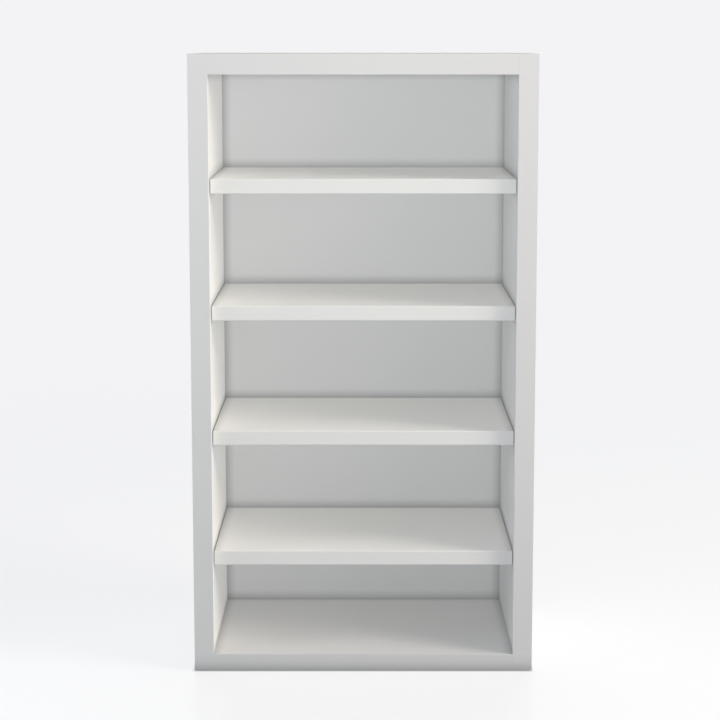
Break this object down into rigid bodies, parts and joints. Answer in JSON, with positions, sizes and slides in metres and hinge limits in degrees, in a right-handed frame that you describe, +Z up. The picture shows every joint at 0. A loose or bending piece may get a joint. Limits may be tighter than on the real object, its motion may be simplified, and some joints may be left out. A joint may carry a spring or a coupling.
{
  "type": "bookcase",
  "caption": "Open bookcase: a thick white frame with a recessed back panel and loose shelves that rest on hidden pins and pull out through the front.",
  "frame": {"origin": "on the floor, under the middle of the case's width and depth", "axes": "+Z up; the open front faces -Y; +X to the right of someone who faces the open front"},
  "size_m": [0.914, 0.59, 1.657],
  "materials": {
    "white_board": "satin",
    "back_board": "satin",
    "pin_steel": "satin",
    "cast_zinc": "matte",
    "zinc_plated_steel": "satin",
    "bracket_steel": "satin",
    "beech": "matte",
    "glide_plastic": "matte"
  },
  "bodies": {
    "case": {"left_side": "white_board", "right_side": "white_board", "top_panel": "white_board", "bottom_panel": "white_board", "back_panel": "back_board", "cam_top_left_front": "cast_zinc", "cam_top_left_rear": "cast_zinc", "cam_top_right_front": "cast_zinc", "cam_top_right_rear": "cast_zinc", "cam_bottom_left_front": "cast_zinc", "cam_bottom_left_rear": "cast_zinc", "cam_bottom_right_front": "cast_zinc", "cam_bottom_right_rear": "cast_zinc", "cam_bolt_top_left_front": "zinc_plated_steel", "cam_bolt_top_left_rear": "zinc_plated_steel", "cam_bolt_top_right_front": "zinc_plated_steel", "cam_bolt_top_right_rear": "zinc_plated_steel", "cam_bolt_bottom_left_front": "zinc_plated_steel", "cam_bolt_bottom_left_rear": "zinc_plated_steel", "cam_bolt_bottom_right_front": "zinc_plated_steel", "cam_bolt_bottom_right_rear": "zinc_plated_steel", "dowel_top_left_front": "beech", "dowel_top_left_rear": "beech", "dowel_top_right_front": "beech", "dowel_top_right_rear": "beech", "dowel_bottom_left_front": "beech", "dowel_bottom_left_rear": "beech", "dowel_bottom_right_front": "beech", "dowel_bottom_right_rear": "beech", "glide_left_front": "glide_plastic", "glide_left_rear": "glide_plastic", "glide_right_front": "glide_plastic", "glide_right_rear": "glide_plastic", "wall_bracket_left": "bracket_steel", "wall_bracket_right": "bracket_steel", "bracket_screw_1": "zinc_plated_steel", "bracket_screw_2": "zinc_plated_steel", "bracket_screw_3": "zinc_plated_steel", "bracket_screw_4": "zinc_plated_steel"},
    "shelf_1": {"shelf_1": "white_board"},
    "shelf_2": {"shelf_2": "white_board"},
    "shelf_3": {"shelf_3": "white_board"},
    "shelf_4": {"shelf_4": "white_board"},
    "pin_1_left_front": {"pin_1_left_front": "pin_steel"},
    "pin_1_left_rear": {"pin_1_left_rear": "pin_steel"},
    "pin_1_right_front": {"pin_1_right_front": "pin_steel"},
    "pin_1_right_rear": {"pin_1_right_rear": "pin_steel"},
    "pin_2_left_front": {"pin_2_left_front": "pin_steel"},
    "pin_2_left_rear": {"pin_2_left_rear": "pin_steel"},
    "pin_2_right_front": {"pin_2_right_front": "pin_steel"},
    "pin_2_right_rear": {"pin_2_right_rear": "pin_steel"},
    "pin_3_left_front": {"pin_3_left_front": "pin_steel"},
    "pin_3_left_rear": {"pin_3_left_rear": "pin_steel"},
    "pin_3_right_front": {"pin_3_right_front": "pin_steel"},
    "pin_3_right_rear": {"pin_3_right_rear": "pin_steel"},
    "pin_4_left_front": {"pin_4_left_front": "pin_steel"},
    "pin_4_left_rear": {"pin_4_left_rear": "pin_steel"},
    "pin_4_right_front": {"pin_4_right_front": "pin_steel"},
    "pin_4_right_rear": {"pin_4_right_rear": "pin_steel"}
  },
  "joints": [
    {"name": "shelf_1_pull_out", "type": "slide", "parent": "case", "child": "shelf_1", "axis": [0, -1, 0], "range_m": [0, 0.58]},
    {"name": "shelf_2_pull_out", "type": "slide", "parent": "case", "child": "shelf_2", "axis": [0, -1, 0], "range_m": [0, 0.58]},
    {"name": "shelf_3_pull_out", "type": "slide", "parent": "case", "child": "shelf_3", "axis": [0, -1, 0], "range_m": [0, 0.58]},
    {"name": "shelf_4_pull_out", "type": "slide", "parent": "case", "child": "shelf_4", "axis": [0, -1, 0], "range_m": [0, 0.58]},
    {"name": "pin_1_left_front_pull", "type": "slide", "parent": "case", "child": "pin_1_left_front", "axis": [1, 0, 0], "range_m": [0, 0.0085]},
    {"name": "pin_1_left_rear_pull", "type": "slide", "parent": "case", "child": "pin_1_left_rear", "axis": [1, 0, 0], "range_m": [0, 0.0085]},
    {"name": "pin_1_right_front_pull", "type": "slide", "parent": "case", "child": "pin_1_right_front", "axis": [-1, 0, 0], "range_m": [0, 0.0085]},
    {"name": "pin_1_right_rear_pull", "type": "slide", "parent": "case", "child": "pin_1_right_rear", "axis": [-1, 0, 0], "range_m": [0, 0.0085]},
    {"name": "pin_2_left_front_pull", "type": "slide", "parent": "case", "child": "pin_2_left_front", "axis": [1, 0, 0], "range_m": [0, 0.0085]},
    {"name": "pin_2_left_rear_pull", "type": "slide", "parent": "case", "child": "pin_2_left_rear", "axis": [1, 0, 0], "range_m": [0, 0.0085]},
    {"name": "pin_2_right_front_pull", "type": "slide", "parent": "case", "child": "pin_2_right_front", "axis": [-1, 0, 0], "range_m": [0, 0.0085]},
    {"name": "pin_2_right_rear_pull", "type": "slide", "parent": "case", "child": "pin_2_right_rear", "axis": [-1, 0, 0], "range_m": [0, 0.0085]},
    {"name": "pin_3_left_front_pull", "type": "slide", "parent": "case", "child": "pin_3_left_front", "axis": [1, 0, 0], "range_m": [0, 0.0085]},
    {"name": "pin_3_left_rear_pull", "type": "slide", "parent": "case", "child": "pin_3_left_rear", "axis": [1, 0, 0], "range_m": [0, 0.0085]},
    {"name": "pin_3_right_front_pull", "type": "slide", "parent": "case", "child": "pin_3_right_front", "axis": [-1, 0, 0], "range_m": [0, 0.0085]},
    {"name": "pin_3_right_rear_pull", "type": "slide", "parent": "case", "child": "pin_3_right_rear", "axis": [-1, 0, 0], "range_m": [0, 0.0085]},
    {"name": "pin_4_left_front_pull", "type": "slide", "parent": "case", "child": "pin_4_left_front", "axis": [1, 0, 0], "range_m": [0, 0.0085]},
    {"name": "pin_4_left_rear_pull", "type": "slide", "parent": "case", "child": "pin_4_left_rear", "axis": [1, 0, 0], "range_m": [0, 0.0085]},
    {"name": "pin_4_right_front_pull", "type": "slide", "parent": "case", "child": "pin_4_right_front", "axis": [-1, 0, 0], "range_m": [0, 0.0085]},
    {"name": "pin_4_right_rear_pull", "type": "slide", "parent": "case", "child": "pin_4_right_rear", "axis": [-1, 0, 0], "range_m": [0, 0.0085]}
  ]
}
